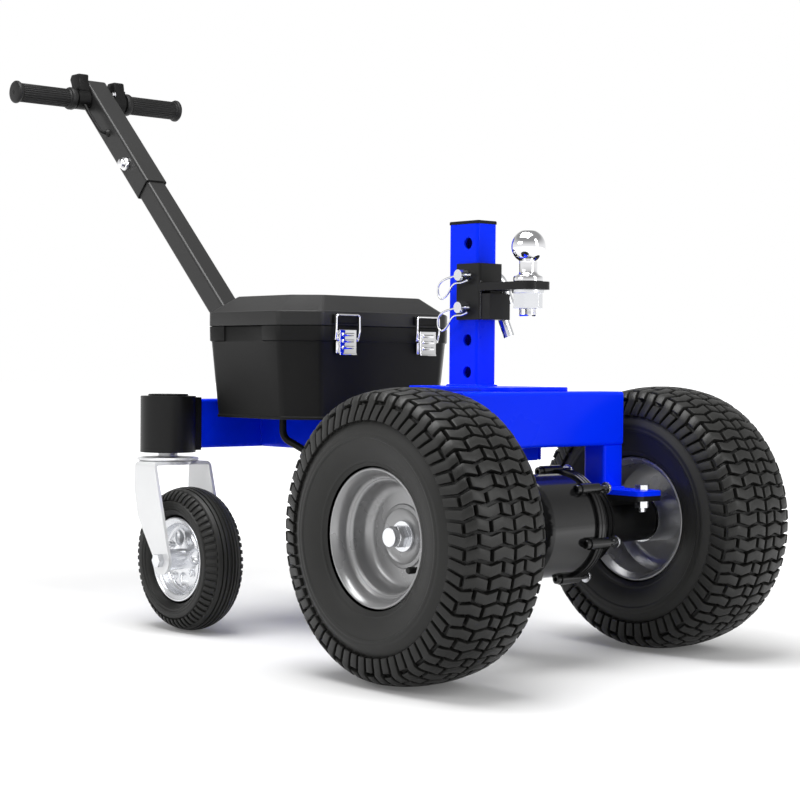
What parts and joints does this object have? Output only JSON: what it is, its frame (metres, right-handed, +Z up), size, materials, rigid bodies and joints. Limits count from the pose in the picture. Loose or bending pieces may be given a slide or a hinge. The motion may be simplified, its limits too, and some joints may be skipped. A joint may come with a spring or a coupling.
{
  "type": "electric trailer dolly",
  "caption": "Battery-driven trailer dolly: blue tube frame on turf drive tyres and swivel casters, ball post, battery box and telescopic T-handle.",
  "frame": {"origin": "floor point under the centre of the machine's bounding box", "axes": "+X ahead towards the drive axle and tow ball, +Y to the machine's left, +Z up"},
  "size_m": [1.3814, 0.642, 0.9311],
  "materials": {
    "blue_paint": "gloss",
    "black_paint": "semi-gloss",
    "black_plastic": "satin moulded",
    "grey_paint": "satin",
    "zinc": "bright zinc",
    "chrome": "polished",
    "tyre_rubber": "matte",
    "grip_rubber": "matte",
    "battery": "satin"
  },
  "bodies": {
    "chassis": {"front_beam": "blue_paint", "drop_legs": "blue_paint", "spine": "blue_paint", "rear_beam": "blue_paint", "post_plate": "blue_paint", "hitch_post": "blue_paint", "post_cap": "black_plastic", "caster_collars": "black_paint", "caster_plates": "zinc", "ball_bracket": "black_paint", "hitch_pins": "zinc", "pin_clips": "zinc", "tow_ball": "chrome", "ball_nut": "zinc", "gear_housing": "black_paint", "axle_tubes": "black_paint", "drive_motor": "black_paint", "axle_bolts": "zinc", "battery_case": "black_plastic", "batteries": "battery", "latch_levers": "chrome", "motor_cable": "black_plastic", "handle_socket": "black_paint", "handle_lower": "black_paint", "socket_bolts": "zinc"},
    "lid": {"box_lid": "black_plastic", "latch_hooks": "black_plastic", "latch_bails": "chrome"},
    "handle": {"handle_upper": "black_paint", "handle_bar": "black_paint", "grips": "grip_rubber", "throttle_pod": "black_plastic", "switch_pod": "black_plastic", "clamp_bolt": "zinc", "control_lead": "black_plastic"},
    "drive_wheel_right": {"wheel_right_tyre": "tyre_rubber", "wheel_right_rim": "grey_paint", "wheel_right_hub": "zinc"},
    "caster_right": {"caster_right_fork": "zinc", "caster_right_axle": "zinc"},
    "caster_wheel_right": {"caster_right_tyre": "tyre_rubber", "caster_right_rim": "zinc"},
    "drive_wheel_left": {"wheel_left_tyre": "tyre_rubber", "wheel_left_rim": "grey_paint", "wheel_left_hub": "zinc"},
    "caster_left": {"caster_left_fork": "zinc", "caster_left_axle": "zinc"},
    "caster_wheel_left": {"caster_left_tyre": "tyre_rubber", "caster_left_rim": "zinc"}
  },
  "joints": [
    {"name": "drive_wheel_right_spin", "type": "hinge", "parent": "chassis", "child": "drive_wheel_right", "pos_m": [0.5002, -0.246, 0.1905], "axis": [0, 1, 0], "continuous": true},
    {"name": "caster_right_swivel", "type": "hinge", "parent": "chassis", "child": "caster_right", "pos_m": [-0.1198, -0.2, 0.2635], "axis": [0, 0, 1], "continuous": true},
    {"name": "caster_right_spin", "type": "hinge", "parent": "caster_right", "child": "caster_wheel_right", "pos_m": [-0.0598, -0.2, 0.11], "axis": [0, 1, 0], "continuous": true},
    {"name": "drive_wheel_left_spin", "type": "hinge", "parent": "chassis", "child": "drive_wheel_left", "pos_m": [0.5002, 0.246, 0.1905], "axis": [0, 1, 0], "continuous": true},
    {"name": "caster_left_swivel", "type": "hinge", "parent": "chassis", "child": "caster_left", "pos_m": [-0.1198, 0.2, 0.2635], "axis": [0, 0, 1], "continuous": true},
    {"name": "caster_left_spin", "type": "hinge", "parent": "caster_left", "child": "caster_wheel_left", "pos_m": [-0.0598, 0.2, 0.11], "axis": [0, 1, 0], "continuous": true},
    {"name": "lid_hinge", "type": "hinge", "parent": "chassis", "child": "lid", "pos_m": [-0.1018, 0, 0.4663], "axis": [0, -1, 0], "range_deg": [0, 100]},
    {"name": "handle_slide", "type": "slide", "parent": "chassis", "child": "handle", "axis": [-0.7169, 0, 0.6972], "range_m": [0, 0.15]}
  ]
}
